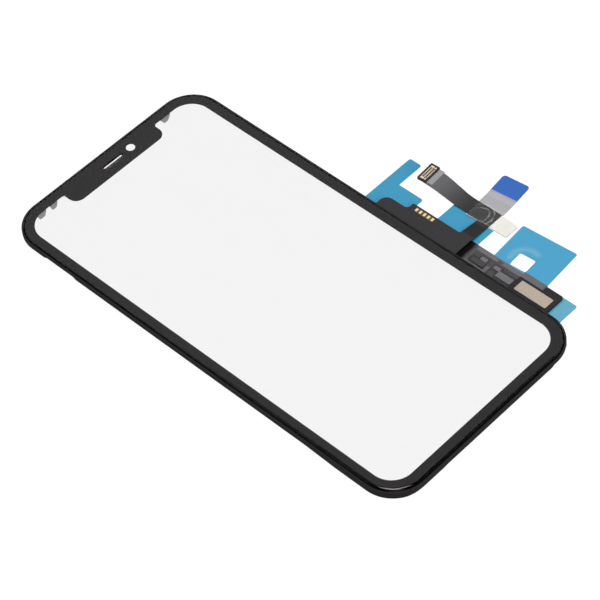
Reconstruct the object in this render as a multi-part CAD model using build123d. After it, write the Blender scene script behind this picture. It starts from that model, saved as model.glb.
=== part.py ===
from build123d import *
import os

# Front touch-glass assembly of a notched phone: cover glass, printed border, touch sensor,
# carrier frame with its steel clips, two flexible circuits and the films that protect them.
# Millimetres. The origin is the centre of the rear face of the touch sensor, where a display
# is bonded. +Z points out of the glass, +Y to the earpiece end, +X to the side of the flexes.

# Cover glass
glass_length = 147.2
glass_width = 72.3
glass_corner_radius = 10.1
glass_thickness = 0.7
glass_edge_roll = 0.9
glass_edge_drop = 0.45
glass_rear_chamfer = 0.08

# Border print, optical adhesive and touch sensor behind the glass
print_thickness = 0.05
print_edge_inset = 0.12
side_border = 3.45
top_border = 3.27
bottom_border = 3.97
window_corner_radius = 6.7
adhesive_thickness = 0.15
adhesive_margin = 0.4
sensor_thickness = 0.15
sensor_margin = 1.2

# Notch, earpiece slot and camera opening
notch_width = 35.6
notch_depth = 5.35
notch_lower_radius = 3.0
notch_upper_radius = 1.0
ear_slot_length = 7.4
ear_slot_height = 1.0
ear_slot_from_end = 4.9
ear_slot_print_margin = 0.03
camera_opening_diameter = 2.7
camera_x = 7.4
camera_from_end = 4.4

# Carrier frame. Depths are measured from the front of the glass, and places along its edge
# from the end or side of the glass that is nearest.
frame_gap = 0.05
frame_lip_width = 0.33
frame_lip_depth = 0.55
frame_lip_radius = 0.12
seat_adhesive_thickness = 0.1
seat_adhesive_width = 1.1
seat_adhesive_inset = 0.3
seat_width = 1.6
seat_thickness = 0.5
skirt_thickness = 1.13
skirt_depth = 2.2
skirt_ramp = 1.1
deep_skirt_depth = 2.82
deep_skirt_end = 20.6
deep_skirt_ramp = 11.0
side_recess_depth = 1.65
side_recess_start = 16.4
side_recess_length = 10.6
foot_skirt_depth = 2.35
foot_skirt_start = 9.15
foot_skirt_length = 8.5
corner_recess_depth = 1.75
corner_recess_start = 4.65
corner_recess_length = 6.5
flex_relief_gap = 1.0

# Steel clips and screw lugs, which reach below the frame and carry it on a flat surface
clip_drop = 1.4
clip_steel = 0.2
clip_bend_radius = 0.3
clip_tip_radius = 0.45
clip_foot_gap = 0.15
clip_shoulder = 0.5
clip_side_gap = 0.1
clip_rib_width = 0.4
clip_rib_height = 0.5
top_clip_from_end = 2.65
outer_clip_from_side = 10.2
outer_clip_root = 3.3
outer_clip_tip = 1.9
inner_clip_from_side = 14.8
inner_clip_root = 2.8
inner_clip_tip = 1.5
right_clip_from_side = 13.25
right_clip_root = 3.7
right_clip_tip = 1.5
side_clip_root = 7.0
side_clip_tip = 5.0
left_clip_from_low_end = 39.6
left_clip_from_top_end = 40.6
right_clip_above_flex = 6.5
right_clip_from_top_end = 31.6
side_latch_length = 3.0
side_latch_height = 0.6
side_latch_above_tip = 0.9
lug_width = 5.6
lug_spacing = 12.4
lug_hole_radius = 0.5
lug_hole_above_tip = 0.8
lug_collar_radius = 0.75
lug_collar_length = 0.6

# Flexes and liners stand beside the frame. Their x is measured from the outside of the frame
# and their y from a line that lies this far from the lower end of the glass.
flex_line_from_end = 73.6

# Main flexible circuit with its foam pad and contact pads
flex_thickness = 0.15
flex_bond_length = 0.95
flex_bend_radius = 0.2
flex_frame_gap = 0.3
foam_pad_thickness = 0.9
foam_pad_inset = 0.15
flex_top_y = 1.5
flex_length = 29.55
flex_upper_reach = 5.22
flex_lower_reach = 7.77
flex_step_from_top = 8.2
flex_top_radius = 2.6
flex_step_inner_radius = 1.3
flex_step_outer_radius = 0.5
pad_length = 1.12
pad_width = 0.72
pad_thickness = 0.05
pad_radius = 0.15
pad_from_edge = 1.25
pad_from_step = 2.33
pad_pitch = 1.45
pad_count = 5
pad_window_margin = 0.22

# Arm from the main flex to the elbow, and the tail that lifts from the elbow
arm_width = 4.15
arm_inner_radius = 0.6
arm_level = 0.9
arm_slope = 5.2
arm_foot = 1.2
arm_bend_radius = 2.0
tail_width = 5.5
tail_lift_from_elbow = 11.45
tail_slope = 9.0
tail_rise = 2.15
tail_neck_widening = 0.8
tail_neck_shift = -0.1
tail_neck_from_slope = 0.6
tail_bend_radius = 18.0

# Board connector at the end of the tail
connector_from_slope = 4.4
connector_shift = 0.2
connector_angle = 4.0
connector_length = 6.7
connector_width = 3.1
connector_height = 0.45
connector_wall = 0.5
connector_floor = 0.15
connector_corner_radius = 0.25
tongue_length = 3.9
tongue_width = 0.55
tongue_height = 0.25
contact_count = 11
contact_pitch = 0.35
contact_width = 0.25
contact_height = 0.2
contact_depth = 0.36
contact_gap = 0.05
connector_end_length = 0.7
connector_end_height = 0.22
connector_end_lands = ((-0.13, 0.97), (-0.95, -0.6))
connector_end_bridge = 0.08
stiffener_thickness = 0.2
ground_patch_length = 1.9
ground_patch_thickness = 0.04
ground_patch_inset = 0.15

# Pull film with its coloured end, and the release pad under the elbow
film_thickness = 0.08
film_width = 8.8
film_overhang = 0.25
film_hold = 0.6
film_drop = 3.3
film_flat = 8.9
film_above_elbow = 3.65
film_angle = 6.3
film_bend_radius = 3.0
film_corner_radius = 1.0
film_colour_length = 7.0
film_colour_thickness = 0.06
release_pad_thickness = 0.2
release_pad_upper = 8.05
release_pad_lower = 6.15
release_pad_taper = 0.25
release_pad_radius = 0.7

# Sensor flex with the parts that are soldered to it. Their places are measured from its inner
# flat edge and from its top edge.
sensor_flex_gap = 0.2
sensor_flex_tuck = 1.3
sensor_flex_length = 31.95
sensor_flex_reach = 8.22
sensor_flex_level = 0.27
sensor_flex_slope = 0.95
component_height = 0.35
component_radius = 0.3
chip_length = 4.6
chip_width = 1.8
chip_place = (2.1, 6.05)
small_component_length = 2.2
small_component_width = 1.3
small_component_places = ((3.8, 6.85), (3.6, 11.7))
long_component_length = 5.2
long_component_width = 2.1
long_component_place = (2.3, 15.4)
ground_strip_width = 1.3
ground_strip_height = 0.12
ground_strip_gap = 0.2

# Clear tape over the components, and the foam gasket with its plate below them
tape_thickness = 0.05
tape_inset = 0.2
tape_from_top = 1.45
tape_wide_length = 16.75
tape_strip_width = 2.25
tape_strip_overhang = 0.75
tape_strip_length = 7.95
gasket_thickness = 0.6
gasket_gap = 0.15
gasket_overhang = 0.1
gasket_below_flex = 0.25
gasket_corner_radius = 0.6
gasket_plate_thickness = 0.1
gasket_plate_inner_margin = 0.6
gasket_plate_outer_margin = 0.85
gasket_plate_top_margin = 1.6
gasket_plate_low_margin = 1.3
gasket_plate_radius = 0.2

# Release liners, which lie on the surface that the part rests on
liner_thickness = 0.1
liner_gap = 0.2
liner_frame_gap = 1.07
liner_above_flex = 4.75
liner_arm_width = 4.4
liner_stem_margin = 3.3
liner_cut_below_step = 0.55
liner_cut_length = 7.75
liner_block_below_flex = 1.9
liner_block_overlap = 0.6
liner_tab_margin = 0.45
liner_tab_below_side_liner = 2.85
liner_below_gasket = 4.5
liner_corner_radius = 0.7
side_liner_length = 18.3
side_liner_width = 16.2
side_liner_beyond_flex = 6.0
side_liner_below_pad = 1.25
side_liner_angle = 4.3
side_liner_overlap = 2.35
side_liner_hole_length = 5.3
side_liner_hole_width = 4.95
side_liner_hole_shift_x = -2.95
side_liner_hole_shift_y = 1.2
side_liner_radius = 0.6

# Levels that follow from the thicknesses above
sensor_rear_z = 0.0
sensor_front_z = sensor_rear_z + sensor_thickness
print_rear_z = sensor_front_z + adhesive_thickness
glass_rear_z = print_rear_z + print_thickness
glass_front_z = glass_rear_z + glass_thickness
seat_top_z = print_rear_z - seat_adhesive_thickness
seat_under_z = seat_top_z - seat_thickness
rim_z = glass_front_z - skirt_depth
table_z = rim_z - clip_drop
liner_top_z = table_z + liner_thickness
flex_under_z = liner_top_z + foam_pad_thickness
flex_top_z = flex_under_z + flex_thickness
elbow_under_z = table_z + release_pad_thickness
elbow_top_z = elbow_under_z + flex_thickness
tail_end_top_z = elbow_top_z + tail_rise
sensor_flex_top_z = liner_top_z + flex_thickness
component_top_z = sensor_flex_top_z + component_height
gasket_top_z = sensor_flex_top_z + gasket_thickness

# Plan of the glass and frame, which follows from the glass outline
half_length = glass_length / 2
half_width = glass_width / 2
window_top_y = half_length - top_border
window_low_y = bottom_border - half_length
window_half_width = half_width - side_border
notch_low_y = window_top_y - notch_depth
ear_slot_y = half_length - ear_slot_from_end
camera_y = half_length - camera_from_end
frame_reach = frame_gap + frame_lip_width
skirt_inset = skirt_thickness - frame_reach
top_clip_y = half_length - top_clip_from_end
flex_line_y = flex_line_from_end - half_length

# Plan of the flexes, from the outside of the frame and the line across it
flex_low_y = flex_top_y - flex_length
flex_step_y = flex_top_y - flex_step_from_top
flex_drop_x = -(frame_reach + seat_width + flex_frame_gap + flex_thickness / 2)
pad_x = flex_lower_reach - pad_from_edge
pad_first_y = flex_step_y - pad_from_step
arm_start_x = flex_lower_reach + arm_level
arm_end_x = arm_start_x + arm_slope
tail_x = arm_end_x + arm_foot
tail_far_x = tail_x + tail_width
tail_middle_x = tail_x + tail_width / 2
tail_lift_y = flex_low_y + tail_lift_from_elbow
tail_level_y = tail_lift_y + tail_slope
connector_x = tail_middle_x + connector_shift
connector_y = tail_level_y + connector_from_slope
film_start_x = tail_x - film_overhang
film_drop_x = tail_far_x + film_hold
film_down_x = film_drop_x + film_drop
film_end_x = film_down_x + film_flat
film_y = flex_low_y + film_above_elbow
pad_top_y = flex_low_y + release_pad_upper
pad_low_y = flex_low_y - release_pad_lower
sensor_flex_top_y = flex_low_y - sensor_flex_gap
sensor_flex_low_y = sensor_flex_top_y - sensor_flex_length
sensor_flex_flat_x = sensor_flex_level + sensor_flex_slope
tape_top_y = sensor_flex_top_y - tape_from_top
tape_step_y = tape_top_y - tape_wide_length
tape_low_y = tape_step_y - tape_strip_length
tape_x = sensor_flex_flat_x + tape_inset
tape_far_x = sensor_flex_reach + tape_strip_overhang
tape_strip_x = tape_far_x - tape_strip_width
gasket_x = tape_x
gasket_narrow_x = tape_strip_x - gasket_gap
gasket_far_x = sensor_flex_reach + gasket_overhang
gasket_top_y = tape_step_y - gasket_gap
gasket_step_y = tape_low_y - gasket_gap
gasket_low_y = sensor_flex_low_y - gasket_below_flex
side_liner_x = sensor_flex_reach + side_liner_beyond_flex
side_liner_y = pad_low_y - side_liner_below_pad - side_liner_length / 2
side_liner_inner_x = sensor_flex_reach - side_liner_overlap


def block(low, high):
    """A box between its lowest and highest corners."""
    size = [high[i] - low[i] for i in range(3)]
    middle = [(high[i] + low[i]) / 2 for i in range(3)]
    return Pos(*middle) * Box(*size)


def rectangle(low_x, low_y, high_x, high_y):
    """A flat rectangle between two corners."""
    middle = Pos((low_x + high_x) / 2, (low_y + high_y) / 2)
    return middle * Rectangle(high_x - low_x, high_y - low_y)


def round_corner(face, x, y, radius):
    """Round the corner of a flat outline that is nearest to a point."""
    corner = face.vertices().sort_by_distance((x, y, 0))[0]
    return fillet(corner, radius)


def plate(face, low_z, high_z):
    """A flat outline given a thickness between two levels."""
    return extrude(Pos(0, 0, low_z) * face, high_z - low_z)


def glass_outline(outset=0.0):
    """The outline of the glass, moved outwards."""
    length = glass_length + 2 * outset
    width = glass_width + 2 * outset
    return RectangleRounded(width, length, glass_corner_radius + outset)


def window_outline(outset=0.0):
    """The clear window with its notch, moved outwards."""
    top = window_top_y + outset
    low = window_low_y - outset
    width = 2 * (window_half_width + outset)
    whole = RectangleRounded(width, top - low, window_corner_radius + outset)
    notch_half = notch_width / 2 - outset
    notch_y = notch_low_y + outset
    notch = rectangle(-notch_half, notch_y, notch_half, top + window_corner_radius)
    face = Pos(0, (top + low) / 2) * whole - notch
    for side in (-1, 1):
        face = round_corner(face, side * notch_half, top, notch_upper_radius + outset)
        face = round_corner(face, side * notch_half, notch_y, notch_lower_radius - outset)
    return face


def around_glass(section):
    """Carry a section once round the glass outline: drawn outwards from the edge, and up."""
    path = glass_outline().face().outer_wire()
    start = Plane(origin=path @ 0, x_dir=(-1, 0, 0), z_dir=(0, 1, 0))
    return sweep(sections=start * section, path=path)


def across(points, thickness, low_y, high_y, radius):
    """A thin sheet that follows points given as (x, z), between two y places."""
    path = FilletPolyline(*[(x, low_y, z) for x, z in points], radius=radius)
    width = high_y - low_y
    start = Plane(origin=path @ 0, x_dir=(0, 1, 0), z_dir=path % 0)
    return sweep(sections=start * Pos(width / 2, 0) * Rectangle(width, thickness), path=path)


def along(points, thickness, low_x, high_x, radius):
    """A thin sheet that follows points given as (y, z), between two x places."""
    path = FilletPolyline(*[(low_x, y, z) for y, z in points], radius=radius)
    width = high_x - low_x
    start = Plane(origin=path @ 0, x_dir=(1, 0, 0), z_dir=path % 0)
    return sweep(sections=start * Pos(width / 2, 0) * Rectangle(width, thickness), path=path)


def cut_to_outline(shape, outline):
    """Keep what lies above and below a flat outline."""
    return shape & plate(outline, table_z - 1, glass_front_z + 1)


def ear_slot(margin, low_z, high_z):
    """The long rounded hole in front of the earpiece."""
    outline = SlotOverall(ear_slot_length + 2 * margin, ear_slot_height + 2 * margin)
    return plate(Pos(0, ear_slot_y) * outline, low_z, high_z)


def make_cover_glass():
    """Flat glass with a curved front edge, a chamfered rear edge and the earpiece slot."""
    body = plate(glass_outline(), glass_rear_z, glass_front_z)
    rear_edges = body.faces().sort_by(Axis.Z)[0].edges()
    body = chamfer(rear_edges, glass_rear_chamfer)
    curve = TangentArc((-glass_edge_roll, 0), (0, -glass_edge_drop), tangent=(1, 0))
    outside = Polyline(
        (0, -glass_edge_drop),
        (glass_edge_roll, -glass_edge_drop),
        (glass_edge_roll, glass_thickness),
        (-glass_edge_roll, glass_thickness),
        (-glass_edge_roll, 0),
    )
    waste = Pos(0, glass_front_z) * make_face([curve, outside])
    return body - around_glass(waste) - ear_slot(0.0, glass_rear_z - 1, glass_front_z + 1)


def make_printed_border():
    """The opaque border behind the glass, open at the window, earpiece slot and camera."""
    face = glass_outline(-print_edge_inset) - window_outline()
    face -= Pos(camera_x, camera_y) * Circle(camera_opening_diameter / 2)
    border = plate(face, print_rear_z, glass_rear_z)
    return border - ear_slot(ear_slot_print_margin, print_rear_z - 1, glass_rear_z + 1)


def film_behind_window(margin, low_z, high_z):
    """A film larger than the window by a margin, but level with it where the top clips hang."""
    room = rectangle(-half_width, -half_length, half_width, window_top_y)
    return plate(window_outline(margin) & room, low_z, high_z)


def make_optical_adhesive():
    """Clear adhesive film that also fills the step of the printed border."""
    film = film_behind_window(adhesive_margin, sensor_front_z, print_rear_z)
    return film + plate(window_outline(), print_rear_z, glass_rear_z)


def make_touch_sensor():
    """The clear sensor film, whose rear face takes the display."""
    return film_behind_window(sensor_margin, sensor_rear_z, sensor_front_z)


def make_seat_adhesive():
    """The bead that holds the printed glass on the seat of the frame."""
    outwards = -seat_adhesive_inset - seat_adhesive_width / 2
    up = seat_top_z + seat_adhesive_thickness / 2
    return around_glass(Pos(outwards, up) * Rectangle(seat_adhesive_width, seat_adhesive_thickness))


def side_cutter():
    """What the long sides of the skirt lose below their rim, drawn as (y, z)."""
    deep_y = deep_skirt_end - half_length
    recess_high_y = half_length - side_recess_start
    recess_low_y = recess_high_y - side_recess_length
    recess_z = glass_front_z - side_recess_depth
    below = table_z - 1
    outline = Polyline(
        (deep_y, glass_front_z - deep_skirt_depth),
        (deep_y + deep_skirt_ramp, rim_z),
        (recess_low_y - skirt_ramp, rim_z),
        (recess_low_y, recess_z),
        (recess_high_y, recess_z),
        (recess_high_y + skirt_ramp, rim_z),
        (glass_length, rim_z),
        (glass_length, below),
        (deep_y, below),
        close=True,
    )
    return extrude(Plane.YZ * make_face(outline), glass_width, both=True)


def foot_cutter():
    """What the lower short side of the skirt loses below its rim, drawn as (x, z)."""
    deep_z = glass_front_z - deep_skirt_depth
    foot_z = glass_front_z - foot_skirt_depth
    recess_z = glass_front_z - corner_recess_depth
    below = table_z - 1
    corner_x = half_width - glass_corner_radius / 2
    foot_start_x = foot_skirt_start - half_width
    foot_end_x = foot_start_x + foot_skirt_length
    recess_far_x = half_width - corner_recess_start
    recess_near_x = recess_far_x - corner_recess_length
    outline = Polyline(
        (-corner_x, deep_z),
        (foot_start_x, foot_z),
        (foot_end_x, foot_z),
        (foot_end_x + skirt_ramp, rim_z),
        (recess_near_x - skirt_ramp, rim_z),
        (recess_near_x, recess_z),
        (recess_far_x, recess_z),
        (recess_far_x + skirt_ramp, deep_z),
        (recess_far_x + skirt_ramp, below),
        (-corner_x, below),
        close=True,
    )
    corner_start = half_length - glass_corner_radius / 2
    return Pos(0, -corner_start) * extrude(Plane.XZ * make_face(outline), glass_corner_radius)


def flex_relief():
    """What the skirt loses where both flexes pass under its rim."""
    low_y = flex_line_y + sensor_flex_low_y - flex_relief_gap
    high_y = flex_line_y + flex_top_y + flex_relief_gap
    return block((0, low_y, table_z - 1), (glass_width, high_y, rim_z))


def make_carrier_frame():
    """Moulded frame: a seat behind the border, a lip round the glass and a skirt to the rear."""
    lip_z = glass_front_z - frame_lip_depth
    deep_z = glass_front_z - deep_skirt_depth
    outline = Polyline(
        (frame_gap, seat_top_z),
        (frame_gap, lip_z),
        (frame_reach, lip_z),
        (frame_reach, deep_z),
        (-skirt_inset, deep_z),
        (-skirt_inset, seat_under_z),
        (-seat_width, seat_under_z),
        (-seat_width, seat_top_z),
        close=True,
    )
    section = round_corner(make_face(outline), frame_reach, lip_z, frame_lip_radius)
    frame = around_glass(section) - side_cutter() - foot_cutter() - flex_relief()
    for centre_x, root, tip in top_clips.values():
        for side in (-1, 1):
            rib_x = centre_x + side * (root / 2 + clip_side_gap + clip_rib_width / 2)
            low = (rib_x - clip_rib_width / 2, half_length - seat_width, seat_under_z - clip_rib_height)
            high = (rib_x + clip_rib_width / 2, half_length - frame_gap, seat_under_z)
            frame += block(low, high)
    return frame


def clip_outline(root, tip):
    """A leg seen square on: straight under its root, then tapered to a rounded tip."""
    shoulder_z = seat_under_z - clip_shoulder
    outline = Polyline(
        (-root / 2, seat_under_z),
        (-root / 2, shoulder_z),
        (-tip / 2, table_z),
        (tip / 2, table_z),
        (root / 2, shoulder_z),
        (root / 2, seat_under_z),
        close=True,
    )
    face = make_face(outline)
    for side in (-1, 1):
        face = round_corner(face, side * tip / 2, table_z, clip_tip_radius)
    return face


def make_top_clip(centre_x, root, tip):
    """Bent steel clip: a foot glued under the seat and a tapered leg that reaches the rear."""
    foot_end = half_length - skirt_inset - clip_foot_gap
    foot_z = seat_under_z - clip_steel / 2
    bend = [(foot_end, foot_z), (top_clip_y, foot_z), (top_clip_y, table_z)]
    sheet = along(bend, clip_steel, centre_x - root / 2, centre_x + root / 2, clip_bend_radius)
    leg = Pos(centre_x, foot_end) * (Plane.XZ * clip_outline(root, tip))
    return sheet & extrude(leg, half_length)


def make_side_clip(side, centre_y):
    """Flat steel clip against the inside of the skirt, with a latch opening near its tip."""
    opening = SlotOverall(side_latch_length, side_latch_height)
    leg = clip_outline(side_clip_root, side_clip_tip) - Pos(0, table_z + side_latch_above_tip) * opening
    inner_x = half_width - skirt_inset - clip_steel
    clip = Pos(inner_x, centre_y) * extrude(Plane.YZ * leg, clip_steel)
    return clip if side > 0 else mirror(clip, about=Plane.YZ)


def make_screw_lug(side):
    """Flat steel lug against the inside of the skirt, with a threaded collar."""
    hole_place = Pos(0, table_z + lug_hole_above_tip)
    hole = Circle(lug_hole_radius)
    leg = clip_outline(lug_width, lug_width) - hole_place * hole
    collar = hole_place * (Circle(lug_collar_radius) - hole)
    inner_y = clip_steel + skirt_inset - half_length
    lug = Pos(0, inner_y) * extrude(Plane.XZ * leg, clip_steel)
    lug += Pos(0, inner_y + lug_collar_length) * extrude(Plane.XZ * collar, lug_collar_length)
    return Pos(side * lug_spacing / 2) * lug


def main_flex_outline():
    """Plan of the main flex and its arm, with the step beside the contact pads."""
    bond_x = flex_drop_x - flex_bond_length
    upper = rectangle(bond_x, flex_step_y, flex_upper_reach, flex_top_y)
    lower = rectangle(bond_x, flex_low_y, flex_lower_reach, flex_step_y)
    arm_top_y = flex_low_y + arm_width
    face = upper + lower + rectangle(flex_lower_reach, flex_low_y, tail_far_x, arm_top_y)
    face = round_corner(face, flex_upper_reach, flex_top_y, flex_top_radius)
    face = round_corner(face, flex_upper_reach, flex_step_y, flex_step_inner_radius)
    face = round_corner(face, flex_lower_reach, flex_step_y, flex_step_outer_radius)
    return round_corner(face, flex_lower_reach, arm_top_y, arm_inner_radius)


def tail_outline():
    """Plan of the tail: widening from the elbow to its neck, then as large as the connector."""
    neck_x = tail_x + tail_neck_shift - tail_neck_widening / 2
    neck_far_x = neck_x + tail_width + tail_neck_widening
    neck_y = tail_level_y + tail_neck_from_slope
    outline = Polyline(
        (tail_x, flex_low_y),
        (tail_x, tail_lift_y),
        (neck_x, neck_y),
        (neck_x, connector_y),
        (neck_far_x, connector_y),
        (neck_far_x, neck_y),
        (tail_far_x, tail_lift_y),
        (tail_far_x, flex_low_y),
        close=True,
    )
    return make_face(outline) + connector_place(0) * Rectangle(connector_length, connector_width)


def connector_place(z):
    """The middle of the board connector at a level, turned with the end of the tail."""
    return Pos(connector_x, connector_y, z) * Rot(0, 0, connector_angle)


def pad_window():
    """Plan of the opening in the cover layer round the contact pads."""
    reach = pad_pitch * (pad_count - 1)
    width = pad_length + 2 * pad_window_margin
    height = reach + pad_width + 2 * pad_window_margin
    return Pos(pad_x, pad_first_y - reach / 2) * Rectangle(width, height)


def make_main_flex():
    """One flexible circuit: bonded to the sensor, out under the rim, down the arm, up the tail."""
    bond_z = print_rear_z - flex_thickness / 2
    body_z = (flex_under_z + flex_top_z) / 2
    elbow_z = (elbow_under_z + elbow_top_z) / 2
    drop = [(flex_drop_x - flex_bond_length, bond_z), (flex_drop_x, bond_z)]
    drop += [(flex_drop_x, body_z), (0, body_z)]
    bond = across(drop, flex_thickness, flex_low_y, flex_top_y, flex_bend_radius)
    slope = [(0, body_z), (arm_start_x, body_z), (arm_end_x, elbow_z), (tail_far_x, elbow_z)]
    body = across(slope, flex_thickness, flex_low_y, flex_top_y, arm_bend_radius)
    end_y = connector_y + connector_length
    lift = [(flex_low_y, elbow_z), (tail_lift_y, elbow_z)]
    lift += [(tail_level_y, elbow_z + tail_rise), (end_y, elbow_z + tail_rise)]
    low_x = connector_x - connector_length
    tail = along(lift, flex_thickness, low_x, low_x + 2 * connector_length, tail_bend_radius)
    flex = cut_to_outline(bond + body, main_flex_outline()) + cut_to_outline(tail, tail_outline())
    return flex - plate(pad_window(), flex_top_z - pad_thickness, flex_top_z + 1)


def make_contact_pad(index):
    """One gold contact pad on the bottom of the opening in the cover layer."""
    pad = RectangleRounded(pad_length, pad_width, pad_radius)
    place = Pos(pad_x, pad_first_y - index * pad_pitch)
    return plate(place * pad, flex_top_z - pad_thickness, flex_top_z)


def make_flex_foam_pad():
    """Black foam between the liner and the level part of the main flex."""
    low_y = flex_low_y + sensor_flex_tuck + foam_pad_inset
    high_y = flex_top_y - foam_pad_inset
    upper_x = flex_upper_reach - foam_pad_inset
    upper = rectangle(liner_frame_gap, low_y, upper_x, high_y)
    lower_x = flex_lower_reach - foam_pad_inset
    lower = rectangle(liner_frame_gap, low_y, lower_x, flex_step_y - foam_pad_inset)
    face = round_corner(upper + lower, upper_x, high_y, flex_top_radius - foam_pad_inset)
    return plate(face, liner_top_z, flex_under_z)


def make_connector_housing():
    """Moulded housing of the board connector: a wall all round and a tongue in the middle."""
    outer = RectangleRounded(connector_length, connector_width, connector_corner_radius)
    inner = Rectangle(connector_length - 2 * connector_wall, connector_width - 2 * connector_wall)
    floor = Pos(0, 0, connector_floor)
    body = extrude(outer, connector_height) - extrude(floor * inner, connector_height)
    body += extrude(floor * Rectangle(tongue_length, tongue_width), tongue_height)
    return connector_place(tail_end_top_z) * body


def make_contact_row(side):
    """A row of sprung contacts between the tongue and one wall of the connector."""
    middle = side * (connector_width / 2 - connector_wall - contact_gap - contact_depth / 2)
    first = -contact_pitch * (contact_count - 1) / 2
    row = []
    for index in range(contact_count):
        finger = Box(contact_width, contact_depth, contact_height)
        place = Pos(first + index * contact_pitch, middle, connector_floor + contact_height / 2)
        row.append(connector_place(tail_end_top_z) * place * finger)
    return Compound(row)


def make_connector_end(side):
    """Metal retainer at one end of the connector's cavity: two lands joined by a low bridge."""
    reach = connector_length / 2 - connector_wall - connector_end_length / 2 - contact_gap
    half = connector_end_length / 2
    retainer = block(
        (-half / 2, connector_end_lands[1][0], 0),
        (half / 2, connector_end_lands[0][1], connector_end_bridge),
    )
    for low_y, high_y in connector_end_lands:
        retainer += block((-half, low_y, 0), (half, high_y, connector_end_height))
    return connector_place(tail_end_top_z) * Pos(side * reach, 0, connector_floor) * retainer


def make_connector_stiffener():
    """Plate behind the flex that keeps the connector flat."""
    outline = RectangleRounded(connector_length, connector_width, connector_corner_radius)
    under = tail_end_top_z - flex_thickness - stiffener_thickness
    return connector_place(under) * extrude(outline, stiffener_thickness)


def make_ground_patch():
    """Thin grey shielding patch on the tail in front of the connector."""
    width = tail_width + tail_neck_widening - 2 * ground_patch_inset
    middle_y = -(connector_width + ground_patch_length) / 2 - contact_gap
    outline = Pos(0, middle_y) * Rectangle(width, ground_patch_length)
    return connector_place(tail_end_top_z) * extrude(outline, ground_patch_thickness)


def film_outline(start_x):
    """Plan of the pull film from a place to its rounded free end, before it is turned."""
    low_y = film_y - film_width / 2
    high_y = film_y + film_width / 2
    face = rectangle(start_x, low_y, film_end_x, high_y)
    face = round_corner(face, film_end_x, low_y, film_corner_radius)
    return round_corner(face, film_end_x, high_y, film_corner_radius)


def film_sheet(thickness, under):
    """A sheet that lies on the elbow, drops to the surface and lies flat to its free end."""
    high_z = elbow_top_z + under + thickness / 2
    low_z = table_z + under + thickness / 2
    path = [(film_start_x - film_width, high_z), (film_drop_x, high_z)]
    path += [(film_down_x, low_z), (film_end_x + film_width, low_z)]
    return across(path, thickness, film_y - film_width, film_y + film_width, film_bend_radius)


def film_turn():
    """Turns what is drawn about the middle of the elbow by the angle of the pull film."""
    return Pos(tail_middle_x, film_y) * Rot(0, 0, film_angle) * Pos(-tail_middle_x, -film_y)


def make_pull_film():
    """Clear film over the elbow, with a free end to pull it off by."""
    film = film_turn() * cut_to_outline(film_sheet(film_thickness, 0.0), film_outline(film_start_x))
    beyond = rectangle(0, flex_low_y - film_width, tail_far_x, flex_low_y)
    return film - plate(beyond, table_z, glass_front_z)


def make_pull_film_end():
    """Coloured layer on the free end of the pull film."""
    layer = film_sheet(film_colour_thickness, film_thickness)
    return film_turn() * cut_to_outline(layer, film_outline(film_end_x - film_colour_length))


def make_release_pad():
    """Pale release pad under the elbow, reaching out below it."""
    low_far_x = tail_far_x - release_pad_taper
    outline = Polyline(
        (tail_x, pad_top_y),
        (tail_far_x, pad_top_y),
        (tail_far_x, flex_low_y),
        (low_far_x, pad_low_y),
        (tail_x, pad_low_y),
        close=True,
    )
    face = round_corner(make_face(outline), tail_x, pad_low_y, release_pad_radius)
    face = round_corner(face, low_far_x, pad_low_y, release_pad_radius)
    return plate(face, table_z, elbow_under_z)


def make_sensor_flex():
    """Second flexible circuit: from the sensor out and down to the liner, under the main flex."""
    bond_z = print_rear_z - flex_thickness / 2
    rim_level = (flex_under_z + flex_top_z) / 2
    flat_z = sensor_flex_top_z - flex_thickness / 2
    path = [(flex_drop_x - flex_bond_length, bond_z), (flex_drop_x, bond_z), (flex_drop_x, rim_level)]
    path += [(sensor_flex_level, rim_level), (sensor_flex_flat_x, flat_z), (sensor_flex_reach, flat_z)]
    flex = across(path, flex_thickness, sensor_flex_low_y, sensor_flex_top_y, flex_bend_radius)
    tuck_top_y = flex_low_y + sensor_flex_tuck
    tuck = rectangle(tape_x, sensor_flex_low_y, sensor_flex_reach, tuck_top_y)
    return flex + plate(tuck, liner_top_z, sensor_flex_top_z)


def component(place, width, length):
    """A part soldered to the sensor flex."""
    x = sensor_flex_flat_x + place[0]
    y = sensor_flex_top_y - place[1]
    face = Pos(x, y) * RectangleRounded(width, length, component_radius)
    return plate(face, sensor_flex_top_z, component_top_z)


def make_ground_strip():
    """Thin bare strip round the upper corner of the components, turned in at its lower end."""
    inner_x = sensor_flex_flat_x + ground_strip_gap
    outer_x = sensor_flex_reach - ground_strip_gap
    top_y = sensor_flex_top_y - ground_strip_width
    foot_y = sensor_flex_top_y - chip_place[1] - chip_length / 2 - ground_strip_gap
    low_y = foot_y - ground_strip_width
    head = rectangle(inner_x, top_y - ground_strip_width, outer_x, top_y)
    upright = rectangle(inner_x, low_y, inner_x + ground_strip_width / 2, top_y)
    foot = rectangle(inner_x, low_y, inner_x + 2 * ground_strip_width, foot_y)
    return plate(head + upright + foot, sensor_flex_top_z, sensor_flex_top_z + ground_strip_height)


def make_cover_tape():
    """Clear tape over the components, with a narrow strip that steps down beside the gasket."""
    high_z = component_top_z + tape_thickness / 2
    low_z = sensor_flex_top_z + tape_thickness / 2
    path = [(tape_top_y, high_z), (tape_step_y, high_z)]
    path += [(tape_step_y - 2 * component_height, low_z), (tape_low_y, low_z)]
    sheet = along(path, tape_thickness, tape_x, tape_far_x, component_height)
    wide = rectangle(tape_x, tape_step_y, sensor_flex_reach, tape_top_y)
    narrow = rectangle(tape_strip_x, tape_low_y, tape_far_x, tape_step_y)
    return cut_to_outline(sheet, wide + narrow)


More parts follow.
